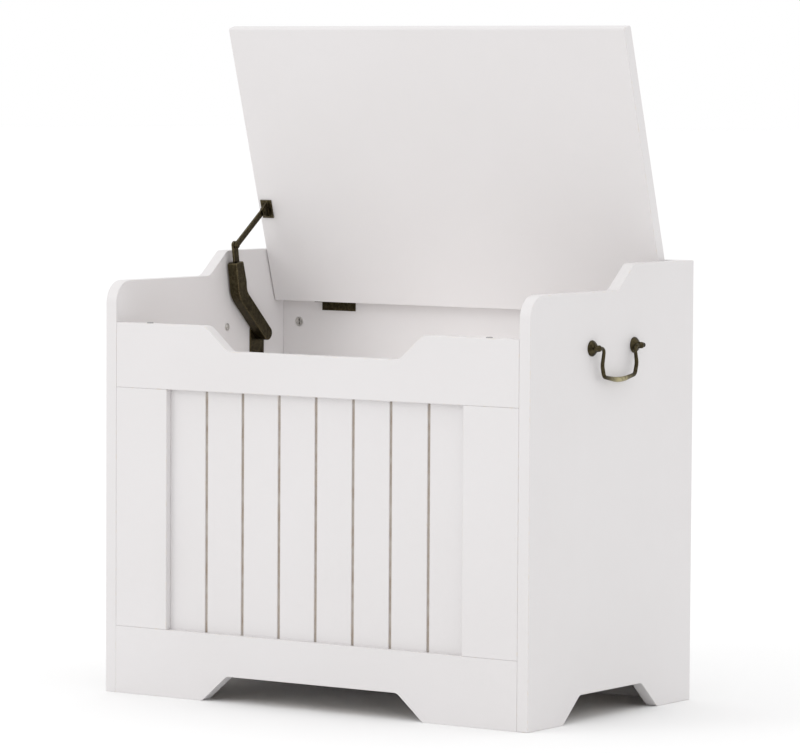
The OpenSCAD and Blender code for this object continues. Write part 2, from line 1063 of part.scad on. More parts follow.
side_panel_left();
side_panel_right();
back_panel();
top_rail();
bottom_rail();
stile_left();
stile_right();
slat_1();
slat_2();
slat_3();
slat_4();
slat_5();
slat_6();
slat_7();
slat_8();
batten_upper();
batten_lower();
batten_screws();
bottom_board();
cleat_left();
cleat_right();
cleat_front();
cleat_rear();
cleat_screws();
cam_locks_left();
cam_locks_right();
cam_bolts_left();
cam_bolts_right();
panel_dowels();
frame_dowels();
lid_bumpers();
lid();
hinge_left_fixed_leaf();
hinge_left_lid_leaf();
hinge_left_pin();
hinge_right_fixed_leaf();
hinge_right_lid_leaf();
hinge_right_pin();
hinge_screws_back();
hinge_screws_lid();
stay_mount();
stay_mount_screws();
stay_base_bolt();
stay_washer();
stay_arm();
stay_shroud();
stay_elbow_rivet();
stay_link();
stay_lid_bracket();
stay_bracket_screws();
stay_lid_rivet();
handle_right_posts();
handle_right_bail();
handle_right_screws();
handle_left_posts();
handle_left_bail();
handle_left_screws();
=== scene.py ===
"""The storage bench's looks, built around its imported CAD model. Sizes are in metres."""

import json
import math

import bmesh
import bpy
import numpy as np
from mathutils import Matrix, Vector


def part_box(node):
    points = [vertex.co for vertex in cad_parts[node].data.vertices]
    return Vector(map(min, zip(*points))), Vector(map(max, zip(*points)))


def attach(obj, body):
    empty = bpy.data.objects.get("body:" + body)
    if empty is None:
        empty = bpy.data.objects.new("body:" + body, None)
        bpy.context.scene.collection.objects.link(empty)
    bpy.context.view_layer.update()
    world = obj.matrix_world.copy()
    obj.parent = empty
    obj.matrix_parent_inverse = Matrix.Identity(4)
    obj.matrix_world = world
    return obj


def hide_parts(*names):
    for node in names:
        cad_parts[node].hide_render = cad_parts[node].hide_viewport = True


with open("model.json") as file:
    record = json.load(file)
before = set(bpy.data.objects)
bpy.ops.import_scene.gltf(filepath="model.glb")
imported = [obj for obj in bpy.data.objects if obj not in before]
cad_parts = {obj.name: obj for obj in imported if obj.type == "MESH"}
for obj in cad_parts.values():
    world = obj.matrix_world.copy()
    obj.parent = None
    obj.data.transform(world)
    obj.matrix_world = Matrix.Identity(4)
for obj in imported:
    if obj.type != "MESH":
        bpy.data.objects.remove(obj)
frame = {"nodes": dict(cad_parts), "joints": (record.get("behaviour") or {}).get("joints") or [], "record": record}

MM = 0.001
RECORD = frame["record"]
BODY_OF = {node: body for body, nodes in RECORD["behaviour"]["bodies"].items() for node in nodes}
SLOT_OF = {part["node"]: part["material_slot"] for part in RECORD["subparts"]}
JOINT = {joint["name"]: joint for joint in frame["joints"]}
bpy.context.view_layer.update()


# ---- Meshes ----

FLAT = math.cos(math.radians(0.5))      # faces closer than this to parallel are one flat face
SHARP = math.radians(30)                # an edge with more turn than this is a sharp one
SMOOTH = math.radians(38)               # an edge with less turn than this is shaded smooth
MERGE = math.radians(0.3)               # faces with less turn than this between them are merged
WELD = 0.002 * MM                       # vertices closer than this are one
BOARD_AREA = 300 * MM * MM              # a board's faces smaller than this keep their edges sharp


def make_piece(name, bm, nodes, materials):
    """Turns a bmesh into a piece that stands for these CAD nodes and rides on their body."""
    mesh = bpy.data.meshes.new(name)
    bm.to_mesh(mesh)
    bm.free()
    mesh.shade_smooth()
    mesh.set_sharp_from_angle(angle=SMOOTH)
    for material in materials:
        mesh.materials.append(material)
    obj = bpy.data.objects.new(name, mesh)
    bpy.context.scene.collection.objects.link(obj)
    normals = obj.modifiers.new("normals", "WEIGHTED_NORMAL")
    normals.keep_sharp = True
    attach(obj, BODY_OF[nodes[0]])
    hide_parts(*nodes)
    return obj


def cad_copy(node):
    """A bmesh of the CAD node, with its split vertices joined and its flat faces merged."""
    bm = bmesh.new()
    bm.from_mesh(frame["nodes"][node].data)
    bmesh.ops.remove_doubles(bm, verts=bm.verts, dist=WELD)
    bmesh.ops.dissolve_limit(bm, angle_limit=MERGE, verts=bm.verts, edges=bm.edges)
    return bm


def spread(items, neighbours):
    """Splits items into groups that touch each other."""
    left = set(items)
    groups = []
    for first in items:
        if first not in left:
            continue
        left.discard(first)
        group = [first]
        for item in group:
            for other in neighbours(item):
                if other in left:
                    left.discard(other)
                    group.append(other)
        groups.append(group)
    return groups


def extent(edges):
    """The diagonal of the box around some edges."""
    points = np.array([v.co for e in edges for v in e.verts])
    return float(np.linalg.norm(points.max(0) - points.min(0)))


def outline_edges(bm, least_area):
    """The sharp edges around each flat face of at least that area, without the rims of bores in it."""
    def beside(face):
        return [f for e in face.edges for f in e.link_faces if f.normal.dot(face.normal) > FLAT]

    chosen = set()
    for region in spread(list(bm.faces), beside):
        if sum(f.calc_area() for f in region) < least_area:
            continue
        members = set(region)
        rim = {e for f in region for e in f.edges if sum(f2 in members for f2 in e.link_faces) == 1}
        loops = spread(list(rim), lambda edge: [e for v in edge.verts for e in v.link_edges if e in rim])
        chosen.update(max(loops, key=extent))
    return [e for e in chosen if e.calc_face_angle(0) > SHARP]


def eased(node, width, least_area=BOARD_AREA, segments=3, clamp=True):
    """A bmesh of the CAD node with its outer edges rounded over, and its new faces marked as "arris"."""
    bm = cad_copy(node)
    mark = bm.faces.layers.float.new("arris")
    made = bmesh.ops.bevel(
        bm, geom=outline_edges(bm, least_area), offset=width, offset_type="OFFSET", segments=segments,
        profile=0.5, affect="EDGES", clamp_overlap=clamp)
    for face in made["faces"]:
        face[mark] = 1
    return bm


def solids_of(node):
    """The points of each separate solid of a CAD node."""
    bm = bmesh.new()
    bm.from_mesh(frame["nodes"][node].data)
    bmesh.ops.remove_doubles(bm, verts=bm.verts, dist=WELD)
    groups = spread(list(bm.verts), lambda v: [e.other_vert(v) for e in v.link_edges])
    points = [np.array([v.co for v in group]) for group in groups]
    bm.free()
    return points


def middle(points):
    return Vector((points.min(0) + points.max(0)) / 2)


def around(steps):
    """Angles at equal steps around a circle."""
    return [2 * math.pi * i / steps for i in range(steps)]


def skin(bm, rings):
    """Closes a bmesh over rings of its vertices, from the first ring to the last."""
    steps = len(rings[0])
    for low, high in zip(rings, rings[1:]):
        for i in range(steps):
            j = (i + 1) % steps
            bm.faces.new((low[i], low[j], high[j], high[i]))
    bm.faces.new(reversed(rings[0]))
    bm.faces.new(rings[-1])
    return bm


def turned_on(profile, steps):
    """A bmesh that turns a profile of (place along +Z, radius) points about the Z axis."""
    bm = bmesh.new()
    return skin(bm, [
        [bm.verts.new((r * math.cos(a), r * math.sin(a), z)) for a in around(steps)]
        for z, r in profile])


def arc(centre, radius, start, end, steps):
    """Points on an arc in a plane, with its angles in degrees."""
    angles = [math.radians(start + (end - start) * i / steps) for i in range(steps + 1)]
    return [(centre[0] + radius * math.cos(a), centre[1] + radius * math.sin(a)) for a in angles]


def facing(axis, up):
    """A matrix that turns +Z onto an axis, with a second axis of its own kept upward."""
    return Vector(axis).to_track_quat("Z", up).to_matrix().to_4x4()


def moved(bm, matrix):
    bmesh.ops.transform(bm, matrix=matrix, verts=bm.verts)
    return bm


def add_mesh(bm, mesh, matrix):
    """Adds a mesh to a bmesh, placed by a matrix."""
    before = len(bm.verts)
    bm.from_mesh(mesh)
    bm.verts.ensure_lookup_table()
    bmesh.ops.transform(bm, matrix=matrix, verts=bm.verts[before:])


def to_mesh(bm, name):
    mesh = bpy.data.meshes.new(name)
    bm.to_mesh(mesh)
    bm.free()
    return mesh


def cut(body, tool, name):
    """The mesh of one bmesh with another cut out of it."""
    objects = [bpy.data.objects.new(name, to_mesh(bm, name)) for bm in (body, tool)]
    for obj in objects:
        bpy.context.scene.collection.objects.link(obj)
    modifier = objects[0].modifiers.new("cut", "BOOLEAN")
    modifier.object = objects[1]
    modifier.solver = "EXACT"
    bpy.context.view_layer.update()
    result = bpy.data.meshes.new_from_object(
        objects[0].evaluated_get(bpy.context.evaluated_depsgraph_get()))
    for obj in objects:
        bpy.data.objects.remove(obj)
    return result


# ---- Materials ----


class Looks:
    """A material and short calls that add nodes to it."""

    def __init__(self, name, **sockets):
        self.material = bpy.data.materials.new(name)
        self.material.use_nodes = True
        self.tree = self.material.node_tree
        self.shader = self.tree.nodes["Principled BSDF"]
        for socket, value in sockets.items():
            self.shader.inputs[socket.replace("_", " ")].default_value = value
        self.place = self.add("TexCoord").outputs["Object"]

    def add(self, kind, inputs=(), **settings):
        node = self.tree.nodes.new("ShaderNode" + kind)
        for key, value in settings.items():
            setattr(node, key, value)
        for socket, value in dict(inputs).items():
            self.set(node.inputs[socket], value)
        return node

    def set(self, socket, value):
        if isinstance(value, bpy.types.NodeSocket):
            self.tree.links.new(value, socket)
        else:
            socket.default_value = value

    def stretched(self, x, y, z):
        """Object coordinates, stretched along the axes."""
        return self.add("Mapping", {"Vector": self.place, "Scale": (x, y, z)}).outputs["Vector"]

    def noise(self, scale, detail=2.0, place=None, distortion=0.0):
        node = self.add("TexNoise", {
            "Vector": place or self.place, "Scale": scale, "Detail": detail, "Distortion": distortion})
        return node.outputs["Fac"]

    def span(self, value, low, high, from_low=0.0, from_high=1.0):
        node = self.add("MapRange", {
            "Value": value, "From Min": from_low, "From Max": from_high, "To Min": low, "To Max": high})
        return node.outputs["Result"]

    def times(self, a, b):
        node = self.add("Math", operation="MULTIPLY")
        self.set(node.inputs[0], a)
        self.set(node.inputs[1], b)
        return node.outputs["Value"]

    def mix(self, share, a, b):
        node = self.add("Mix", data_type="RGBA")
        self.set(node.inputs["Factor"], share)
        self.set(node.inputs["A"], a)
        self.set(node.inputs["B"], b)
        return node.outputs["Result"]

    def mark(self, name):
        """A layer of the mesh, such as its arrises."""
        return self.add("Attribute", attribute_name=name).outputs["Fac"]

    def bump(self, height, depth, below=None):
        inputs = {"Height": height, "Strength": 1.0, "Distance": depth}
        if below:
            inputs["Normal"] = below
        return self.add("Bump", inputs).outputs["Normal"]

    def finish(self, **links):
        for socket, value in links.items():
            self.set(self.shader.inputs[socket.replace("_", " ")], value)
        return self.material


def colour(r, g, b):
    return (r, g, b, 1.0)


def paint_material(name, light, shade, worn):
    """Sprayed satin paint: soft clouds of tone, a fine orange peel, and arrises rubbed a little thin."""
    look = Looks(name, IOR=1.48)
    clouds = look.noise(5.0, 3.0)
    base = look.mix(look.span(clouds, 0.0, 1.0, 0.35, 0.65), light, shade)
    rubbed = look.times(look.mark("arris"), look.span(look.noise(140.0, 4.0), 0.0, 0.6, 0.52, 0.68))
    peel = look.noise(850.0, 2.0)
    ripple = look.noise(90.0, 2.0)
    return look.finish(
        Base_Color=look.mix(rubbed, base, worn),
        Roughness=look.span(look.noise(38.0, 4.0), 0.40, 0.54, 0.3, 0.7),
        Normal=look.bump(peel, 0.05 * MM, look.bump(ripple, 0.10 * MM)))


def raw_board_material():
    """Fibreboard with only a thin mist of paint, as inside a groove."""
    look = Looks("raw_fibreboard", IOR=1.4)
    fibres = look.noise(420.0, 5.0, look.stretched(1.0, 1.0, 0.25))
    mist = look.span(look.noise(60.0, 3.0), 0.0, 1.0, 0.35, 0.7)
    bare = look.mix(fibres, colour(0.28, 0.225, 0.18), colour(0.39, 0.33, 0.28))
    return look.finish(
        Base_Color=look.mix(mist, bare, colour(0.44, 0.40, 0.365)),
        Roughness=look.span(fibres, 0.7, 0.95),
        Normal=look.bump(fibres, 0.12 * MM))


def pine_material(name, scale):
    """Planed pine: growth rings drawn out along the grain, with pores and darker late wood."""
    look = Looks(name, IOR=1.45)
    along = look.stretched(*scale)
    rings = look.add("TexWave", {
        "Vector": along, "Scale": 70.0, "Distortion": 5.0, "Detail": 3.0, "Detail Scale": 1.6,
    }, bands_direction="DIAGONAL").outputs["Fac"]
    pores = look.noise(900.0, 3.0, along)
    wood = look.mix(rings, colour(0.74, 0.55, 0.33), colour(0.57, 0.36, 0.18))
    return look.finish(
        Base_Color=look.mix(look.span(pores, 0.0, 0.45, 0.4, 0.8), wood, colour(0.42, 0.26, 0.13)),
        Roughness=look.span(rings, 0.55, 0.72),
        Normal=look.bump(pores, 0.08 * MM, look.bump(rings, 0.05 * MM)))


def bronze_material():
    """Antique bronze plating: a dark olive patina, lighter on its arrises and in patches on the bail's grip,
    partly as rubbed wear and partly as painted highlight.
    """
    look = Looks("antique_bronze", Metallic=1.0)
    patina = look.noise(240.0, 5.0, distortion=0.6)
    speckle = look.noise(1500.0, 3.0)
    dark = look.mix(
        look.span(patina, 0.0, 1.0, 0.35, 0.65), colour(0.034, 0.027, 0.014), colour(0.082, 0.067, 0.036))
    # The arrises get a lighter bronze: partly rubbed wear, partly a painted highlight
    edges = look.times(look.mark("arris"), look.span(speckle, 0.0, 0.8, 0.38, 0.65))
    worn = look.mix(edges, dark, colour(0.24, 0.20, 0.115))
    # The bail's grip gets bright patches: partly rubbed wear, partly a painted highlight
    rubbed = look.times(look.mark("rubbed"), look.span(patina, 0.35, 1.0, 0.3, 0.6))
    return look.finish(
        Base_Color=look.mix(rubbed, worn, colour(0.46, 0.41, 0.24)),
        Roughness=look.span(patina, 0.30, 0.52, 0.3, 0.7),
        Normal=look.bump(speckle, 0.02 * MM, look.bump(patina, 0.06 * MM)))


def zinc_material():
    """Zinc plate with faint drawing marks and dull spots."""
    look = Looks("zinc_plate", Metallic=1.0)
    spots = look.noise(320.0, 4.0)
    return look.finish(
        Base_Color=look.mix(spots, colour(0.58, 0.57, 0.54), colour(0.74, 0.73, 0.70)),
        Roughness=look.span(spots, 0.28, 0.50, 0.3, 0.7),
        Normal=look.bump(look.noise(1800.0, 2.0), 0.01 * MM))


def nylon_material():
    look = Looks("nylon", IOR=1.53)
    grain = look.noise(1200.0, 2.0)
    return look.finish(
        Base_Color=look.mix(grain, colour(0.78, 0.75, 0.66), colour(0.84, 0.82, 0.75)),
        Roughness=look.span(grain, 0.42, 0.55),
        Normal=look.bump(grain, 0.02 * MM))


def bumper_material():
    look = Looks("clear_bumper", IOR=1.48, Transmission_Weight=0.65)
    haze = look.noise(500.0, 2.0)
    return look.finish(
        Base_Color=look.mix(haze, colour(0.86, 0.87, 0.87), colour(0.93, 0.93, 0.92)),
        Roughness=look.span(haze, 0.16, 0.30),
        Normal=look.bump(haze, 0.02 * MM))


def floor_material():
    look = Looks("studio_floor")
    return look.finish(
        Base_Color=look.mix(look.noise(1.5, 2.0), colour(0.90, 0.90, 0.90), colour(0.92, 0.92, 0.92)),
        Roughness=look.span(look.noise(20.0), 0.85, 0.95))


# The paint's two tones, and its tone where an arris is worn
PAINT_TONES = (colour(0.725, 0.706, 0.708), colour(0.712, 0.692, 0.692), colour(0.72, 0.66, 0.58))
GRAIN = 0.07        # the scale along the grain, for a scale of 1 across it

PAINT = paint_material("satin_paint", *PAINT_TONES)
SLAT_PAINT = paint_material("satin_paint_slats", *PAINT_TONES)
RAW_BOARD = raw_board_material()
PINE_ALONG_X = pine_material("pine_along_x", (GRAIN, 1.0, 1.0))
PINE_ALONG_Y = pine_material("pine_along_y", (1.0, GRAIN, 1.0))
PINE_ALONG_Z = pine_material("pine_along_z", (1.0, 1.0, GRAIN))
BRONZE = bronze_material()
ZINC = zinc_material()
NYLON = nylon_material()
BUMPER = bumper_material()


# ---- Boards ----

BOARD_EASE = 0.9 * MM
SHEET_EASE = 0.5 * MM
SLAT_EASE = 0.7 * MM
TIMBER_EASE = 1.2 * MM
SPRAY_REACH = 1.2 * MM      # how far behind a slat's face its edges are still painted
BACK_MARGIN = 0.1 * MM


def boards():
    """The painted boards, with every outer edge eased."""
    for node in ("side_panel_left", "side_panel_right", "back_panel", "top_rail", "bottom_rail",
                 "stile_left", "stile_right", "lid"):
        make_piece(node + "_board", eased(node, BOARD_EASE), [node], [PAINT])
    make_piece("bottom_board_sheet", eased("bottom_board", SHEET_EASE), ["bottom_board"], [PAINT])


def slats():
    """The slats' faces and backs are painted, and their tongues and edges are left almost bare."""
    for node in sorted(n for n in SLOT_OF if n.startswith("slat_")):
        low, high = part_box(node)
        bm = eased(node, SLAT_EASE)
        for face in bm.faces:
            depth = face.calc_center_median().y
            if low.y + SPRAY_REACH < depth < high.y - BACK_MARGIN:
                face.material_index = 1
        make_piece(node + "_strip", bm, [node], [SLAT_PAINT, RAW_BOARD])


def rough_timber():
    """Battens and cleats, with the grain along each one."""
    for node in ("batten_upper", "batten_lower", "cleat_front", "cleat_rear"):
        make_piece(node + "_timber", eased(node, TIMBER_EASE), [node], [PINE_ALONG_X])
    for node in ("cleat_left", "cleat_right"):
        make_piece(node + "_timber", eased(node, TIMBER_EASE), [node], [PINE_ALONG_Y])


# ---- Turned and drawn hardware ----


def axis_frame(points):
    """A matrix that puts +Z on the long axis of some points, from the thick end, and the length along it."""
    centre = points.mean(0)
    axis = np.linalg.svd(points - centre)[2][0]
    along = (points - centre) @ axis
    reach = np.linalg.norm(points - centre - np.outer(along, axis), axis=1)
    middle_along = (along.min() + along.max()) / 2
    if reach[along > middle_along].max() > reach[along < middle_along].max():
        axis, along = -axis, -along
    start = Vector(centre + axis * along.min())
    return Matrix.Translation(start) @ facing(axis, "X"), float(along.max() - along.min())


def cross_recess(width, wing, depth):
    """A cross with tapering wings, to cut into a head that starts at z = 0 and points along +Z."""
    half, thin = width / 2, wing / 2
    outline = ((half, thin), (thin, thin), (thin, half), (-thin, half), (-thin, thin), (-half, thin),
               (-half, -thin), (-thin, -thin), (-thin, -half), (thin, -half), (thin, -thin), (half, -thin))
    bm = bmesh.new()
    return skin(bm, [
        [bm.verts.new((x * size, y * size, z)) for x, y in outline]
        for z, size in ((-0.3 * MM, 1.06), (0.0, 1.0), (0.8 * depth, 0.62), (depth, 0.4))])


def ridged(start, end, root, crest, pitch):
    """The profile of a shank whose ridges stand for a rolled thread."""
    points = []
    turns = max(1, int((end - start) / pitch))
    for i in range(turns):
        z = start + i * pitch
        points += [(z, root), (z + 0.35 * pitch, root), (z + 0.55 * pitch, crest), (z + 0.65 * pitch, crest)]
    return points + [(start + turns * pitch, root)]


def wood_screw_mesh(length, head, shank):
    """A countersunk screw with a cross recess, drawn along +Z from the face of its head."""
    cone = head - shank
    ease = 0.12 * MM
    thread = cone + 1.5 * MM
    profile = [(0.0, head - 2 * ease), (0.3 * ease, head - ease), (ease, head - 0.2 * ease),
               (2 * ease, head - ease), (cone, shank), (thread, shank)]
    profile += ridged(thread, length - 2.4 * shank, 0.74 * shank, shank, 0.8 * shank)
    profile += [(length - 0.9 * shank, 0.42 * shank), (length - 0.05 * shank, 0.06 * shank)]
    return cut(turned_on(profile, 32), cross_recess(1.15 * head, 0.28 * head, 0.6 * cone), "screw")


def screws():
    """Every countersunk screw, from the place, length and radii of its CAD solid."""
    for node in ("batten_screws", "cleat_screws", "hinge_screws_back", "hinge_screws_lid",
                 "stay_mount_screws", "stay_bracket_screws"):
        bm = bmesh.new()
        template = None
        for points in solids_of(node):
            place, length = axis_frame(points)
            if template is None:
                local = np.array([place.inverted() @ Vector(p) for p in points])
                reach = np.hypot(local[:, 0], local[:, 1])
                past_head = local[:, 2] > 0.6 * length
                template = wood_screw_mesh(length, float(reach.max()), float(reach[past_head].max()))
            add_mesh(bm, template, place)
        bronze = node.startswith(("hinge", "stay"))
        make_piece(node + "_set", bm, [node], [BRONZE if bronze else ZINC])


def machine_screw_mesh(length):
    """A pan-head screw with its washer, drawn along +Z from the top of its head."""
    head, washer, shank = 3.6 * MM, 4.5 * MM, 2.0 * MM
    seat, corner = 1.2 * MM, 0.9 * MM
    profile = [(0.0, 0.6 * head)] + arc((corner, head - corner), corner, 180, 90, 6)
    profile += [(seat, head), (seat, head + 0.1 * MM), (seat + 0.1 * MM, washer - 0.15 * MM),
                (seat + 0.2 * MM, washer), (seat + 0.6 * MM, washer),
                (seat + 0.8 * MM, washer - 0.2 * MM), (seat + 0.8 * MM, shank)]
    profile += ridged(seat + 1.2 * MM, length - 1.0 * MM, 0.86 * shank, shank, 0.7 * MM)
    profile += [(length - 0.3 * MM, 0.8 * shank), (length, 0.6 * shank)]
    return cut(turned_on(profile, 40), cross_recess(4.2 * MM, 0.9 * MM, 0.9 * MM), "machine_screw")


def handle_screws():
    """The screws and washers that hold the handles' posts, from inside the chest."""
    for side in ("right", "left"):
        node = "handle_%s_screws" % side
        bm = bmesh.new()
        template = None
        for points in solids_of(node):
            place, length = axis_frame(points)
            template = template or machine_screw_mesh(length)
            add_mesh(bm, template, place)
        make_piece(node + "_set", bm, [node], [ZINC])


CAM_RADIUS = 6.0 * MM
CAM_RIM = 0.5 * MM          # how far the rim stands above the face with the recess
BOLT_DEPTH = 7.5 * MM       # from the board's face to the middle of the bolt
MOUTH_RADIUS = 3.15 * MM
MOUTH_PAST_MIDDLE = 3.5 * MM
MOUTH_LENGTH = 12 * MM


def cam_lock_mesh(length):
    """A die-cast cam, drawn along +Z from its rim, with a cross recess in its face."""
    r = CAM_RADIUS
    profile = [(CAM_RIM, 0.5 * r), (CAM_RIM, 4.9 * MM), (0.0, 5.2 * MM), (0.0, r - 0.2 * MM), (0.2 * MM, r),
               (1.4 * MM, r), (1.6 * MM, r - 0.25 * MM),
               (length - 0.4 * MM, r - 0.25 * MM), (length, r - 0.6 * MM)]
    recess = moved(cross_recess(7.5 * MM, 1.7 * MM, 2.6 * MM), Matrix.Translation((0, 0, CAM_RIM)))
    return cut(turned_on(profile, 56), recess, "cam")


def cam_locks():
    """Each lock faces the chest, with a mouth cut out where its bolt comes in."""
    for side in ("left", "right"):
        node = "cam_locks_" + side
        bm = bmesh.new()
        toward_end = -1 if side == "left" else 1
        for points in solids_of(node):
            low, high = points.min(0), points.max(0)
            inward = 1 if middle(points).y < 0 else -1
            face = high[1] if inward > 0 else low[1]
            centre = Vector(((low[0] + high[0]) / 2, face, (low[2] + high[2]) / 2))
            mouth = moved(turned_on([(0.0, MOUTH_RADIUS), (MOUTH_LENGTH, MOUTH_RADIUS)], 32), (
                Matrix.Translation((-toward_end * MOUTH_PAST_MIDDLE, -inward * BOLT_DEPTH, 0))
                @ Matrix.Rotation(toward_end * math.pi / 2, 4, "Y")))
            lock = bmesh.new()
            add_mesh(lock, cam_lock_mesh(float(high[1] - low[1])), facing((0, -inward, 0), "X"))
            add_mesh(bm, cut(lock, mouth, "cam"), Matrix.Translation(centre))
        make_piece(node + "_set", bm, [node], [ZINC])


def cam_bolt_mesh(length):
    """A cam bolt, drawn along +Z from its head to the end of its thread."""
    head, neck, shank = 2.6 * MM, 1.6 * MM, 2.55 * MM
    profile = [(0.0, head - 0.5 * MM), (0.2 * MM, head - 0.15 * MM), (0.5 * MM, head), (2.6 * MM, head),
               (3.0 * MM, head - 0.4 * MM), (3.1 * MM, neck), (6.9 * MM, neck), (8.0 * MM, head),
               (length - 10.0 * MM, head), (length - 9.6 * MM, shank - 0.6 * MM)]
    profile += ridged(length - 9.4 * MM, length - 1.6 * MM, 1.9 * MM, shank, 1.3 * MM)
    profile += [(length - 0.4 * MM, 1.1 * MM), (length, 0.5 * MM)]
    return to_mesh(turned_on(profile, 40), "cam_bolt")


def cam_bolts():
    """Each bolt starts in its lock and is driven outward into the side panel."""
    for side in ("left", "right"):
        node = "cam_bolts_" + side
        turn = facing((-1 if side == "left" else 1, 0, 0), "Y")
        bm = bmesh.new()
        template = None
        for points in solids_of(node):
            low, high = points.min(0), points.max(0)
            template = template or cam_bolt_mesh(float(high[0] - low[0]))
            head_x = high[0] if side == "left" else low[0]
            at = Vector((head_x, (low[1] + high[1]) / 2, (low[2] + high[2]) / 2))
            add_mesh(bm, template, Matrix.Translation(at) @ turn)
        make_piece(node + "_set", bm, [node], [ZINC])


FLUTES = 22
FLUTE_DEPTH = 0.22 * MM


def dowel_mesh(length, r):
    """A wooden dowel with glue flutes and chamfered ends, drawn along +Z."""
    bm = bmesh.new()
    rings = []
    for z, scale in ((0.0, 0.78), (0.9 * MM, 0.97), (1.2 * MM, 1.0),
                     (length - 1.2 * MM, 1.0), (length - 0.9 * MM, 0.97), (length, 0.78)):
        ring = []
        for a in around(4 * FLUTES):
            radius = r * scale - FLUTE_DEPTH * (0.5 - 0.5 * math.cos(FLUTES * a))
            ring.append(bm.verts.new((radius * math.cos(a), radius * math.sin(a), z)))
        rings.append(ring)
    return to_mesh(skin(bm, rings), "dowel")


def dowels():
    """The dowels of the panels lie along X, and those of the front frame stand along Z."""
    for node, axis, material in (("panel_dowels", Vector((1, 0, 0)), PINE_ALONG_X),
                                 ("frame_dowels", Vector((0, 0, 1)), PINE_ALONG_Z)):
        bm = bmesh.new()
        template = None
        for points in solids_of(node):
            size = points.max(0) - points.min(0)
            length, r = float(size.max()), float(np.sort(size)[1] / 2)
            template = template or dowel_mesh(length, r)
            start = middle(points) - axis * (length / 2)
            add_mesh(bm, template, Matrix.Translation(start) @ facing(axis, "Y"))
        make_piece(node + "_set", bm, [node], [material])


# ---- Hinges and lid stay ----

PLATE_AREA = 12 * MM * MM       # a stamped part's faces smaller than this keep their edges sharp
LEAF_EASE = 0.22 * MM
MOUNT_EASE = 0.4 * MM
LINK_EASE = 0.5 * MM
BRACKET_EASE = 0.35 * MM
SHROUD_EASE = 1.0 * MM
WASHER_EASE = 0.12 * MM


def plates():
    """The stamped parts: their outer edges are eased, and their bronze is lighter there, partly as rubbed wear and
    partly as painted highlight.
    """
    for node, width in (
            ("hinge_left_fixed_leaf", LEAF_EASE), ("hinge_left_lid_leaf", LEAF_EASE),
            ("hinge_right_fixed_leaf", LEAF_EASE), ("hinge_right_lid_leaf", LEAF_EASE),
            ("stay_mount", MOUNT_EASE), ("stay_arm", LINK_EASE), ("stay_link", LINK_EASE),
            ("stay_lid_bracket", BRACKET_EASE), ("stay_shroud", SHROUD_EASE)):
        bm = eased(node, width, PLATE_AREA, segments=4, clamp=False)
        make_piece(node + "_plate", bm, [node], [BRONZE])


def button(height, r, steps=6):
    """The profile of a domed head of about some height and radius, rising along +Z from z = 0."""
    rim = 0.12 * MM
    quarter = [math.pi / 2 * i / steps for i in range(1, steps + 1)]
    dome = [(rim + 0.92 * height * math.sin(a), r - 0.55 * r * (1 - math.cos(a)) ** 1.4) for a in quarter]
    return [(0.0, r - 0.15 * MM), (rim, r)] + dome


def turned_node(node, profile_of):
    """A turned piece along the X axis in place of a CAD node, from a profile made for its length."""
    low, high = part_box(node)
    centre = (low + high) / 2
    bm = moved(turned_on(profile_of(high.x - low.x), 40), (
        Matrix.Translation((low.x, centre.y, centre.z)) @ Matrix.Rotation(math.pi / 2, 4, "Y")))
    make_piece(node + "_turned", bm, [node], [BRONZE])


def rivet_profile(head, shank, height):
    """Two domed heads and the shank between them."""
    def profile(length):
        dome = button(height - 0.05 * MM, head)
        near = [(height - z, r) for z, r in reversed(dome)]
        far = [(length - height + z, r) for z, r in dome]
        return near + [(height, shank), (length - height, shank)] + far
    return profile


def base_bolt_profile(length):
    """A bolt's shank, with a domed head at its far end."""
    shank, head, head_height = 2.5 * MM, 5.0 * MM, 2.5 * MM
    under_head = length - head_height
    dome = [(under_head + z, r) for z, r in button(head_height - 0.05 * MM, head, 8)]
    return [(0.0, shank - 0.3 * MM), (0.3 * MM, shank), (under_head, shank)] + dome


def pivots():
    """The stay's rivets, the hinges' pins, and the bolt that the stay's arm turns on."""
    for node in ("stay_elbow_rivet", "stay_lid_rivet"):
        turned_node(node, rivet_profile(head=4.0 * MM, shank=2.5 * MM, height=1.3 * MM))
    for node in ("hinge_left_pin", "hinge_right_pin"):
        turned_node(node, rivet_profile(head=2.0 * MM, shank=1.2 * MM, height=0.8 * MM))
    turned_node("stay_base_bolt", base_bolt_profile)


def small_plastics():
    """The stay's nylon washer, and the clear domes that the closed lid lies on."""
    washer = eased("stay_washer", WASHER_EASE, PLATE_AREA, segments=2)
    make_piece("stay_washer_ring", washer, ["stay_washer"], [NYLON])
    bm = bmesh.new()
    for points in solids_of("lid_bumpers"):
        low, high = points.min(0), points.max(0)
        height, r = float(high[2] - low[2]), float(high[0] - low[0]) / 2
        dome = [(height * math.sin(a), r * (0.25 + 0.75 * math.cos(a) ** 0.5))
                for a in (math.radians(d) for d in (10, 25, 40, 55, 68, 80, 90))]
        profile = [(0.0, r - 0.1 * MM), (0.08 * MM, r)] + dome
        place = Matrix.Translation(((low[0] + high[0]) / 2, (low[1] + high[1]) / 2, low[2]))
        add_mesh(bm, to_mesh(turned_on(profile, 40), "bumper"), place)
    make_piece("lid_bumpers_domes", bm, ["lid_bumpers"], [BUMPER])


# ---- Bail handles ----

POST_BALL = 4.17 * MM
POST_NECK = 7.2 * MM        # from the panel to where the ball starts
EYE = 2.04 * MM

# Half of a bail's outline: its corners, along the panel and up from its pivot, and the radius of each
# bend, in mm. The last corner is across the middle.
BAIL_CORNERS = ((46, 0), (33, 0), (37.5, -20), (33.5, -33), (0, -38.7), (-33.5, -33))
BAIL_BENDS = (0, 5, 14, 6, 100, 0)
BAIL_STEP = 0.9 * MM
BAIL_SIDES = 28
BAIL_ROD = 1.98 * MM        # its radius in the eyes
BUTTON_OUT = 52.05 * MM     # from the bail's middle to the end buttons


